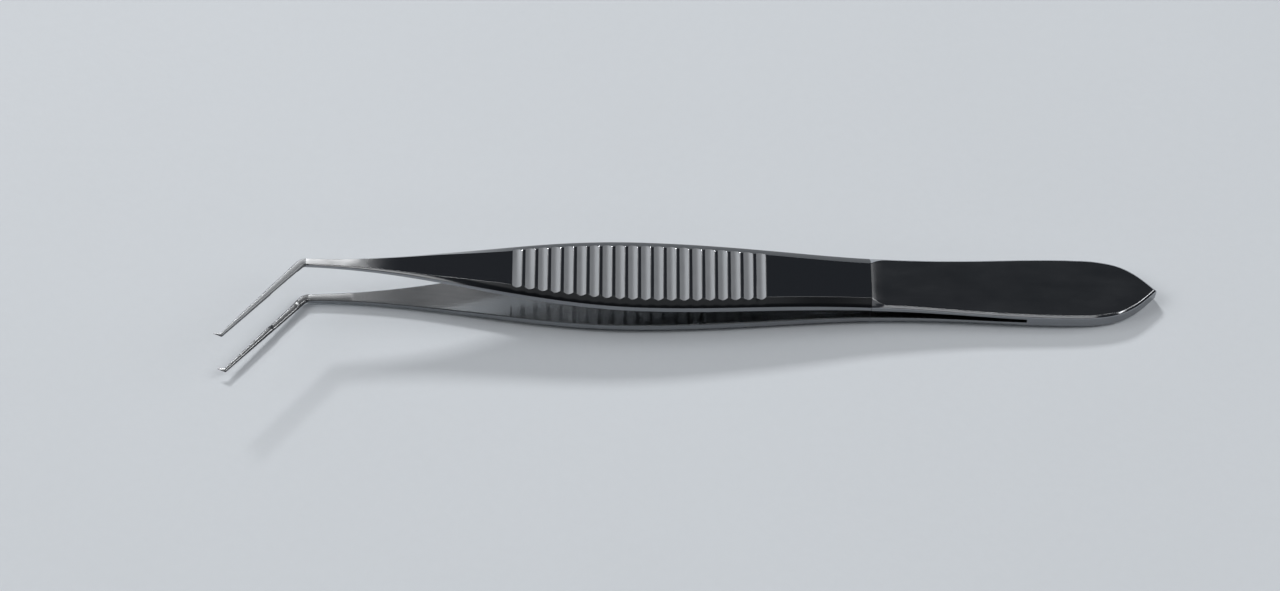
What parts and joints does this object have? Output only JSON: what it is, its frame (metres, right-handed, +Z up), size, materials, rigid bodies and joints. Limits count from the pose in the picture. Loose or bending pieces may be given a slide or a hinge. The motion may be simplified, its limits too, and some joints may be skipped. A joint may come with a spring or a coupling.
{
  "type": "capsulorhexis forceps",
  "caption": "Slender sprung forceps: two flat steel arms welded at a pointed tail, grooved grips and fine tips bent to one side with small pointed teeth.",
  "frame": {"origin": "middle of the bounding box, on the surface that the forceps lies on", "axes": "+X from the tips to the tail, +Z up from the surface, tips bent towards -Y"},
  "size_m": [0.1034, 0.0136, 0.0089],
  "materials": {
    "satin_steel": "fine satin",
    "polished_steel": "mirror polished, grooves satin"
  },
  "bodies": {
    "tail": {"tail": "satin_steel"},
    "upper_arm": {"upper_arm": "polished_steel"},
    "lower_arm": {"lower_arm": "polished_steel"}
  },
  "joints": [
    {"name": "upper_arm_flex", "type": "hinge", "parent": "tail", "child": "upper_arm", "pos_m": [0.02001, 0.00265, 0.00337], "axis": [0, -1, 0], "range_deg": [0, 2.9], "stiffness_Nm_per_rad": 0.7},
    {"name": "lower_arm_flex", "type": "hinge", "parent": "tail", "child": "lower_arm", "pos_m": [0.01992, 0.00265, 0.001], "axis": [0, 1, 0], "range_deg": [0, 2.9], "stiffness_Nm_per_rad": 0.7}
  ]
}
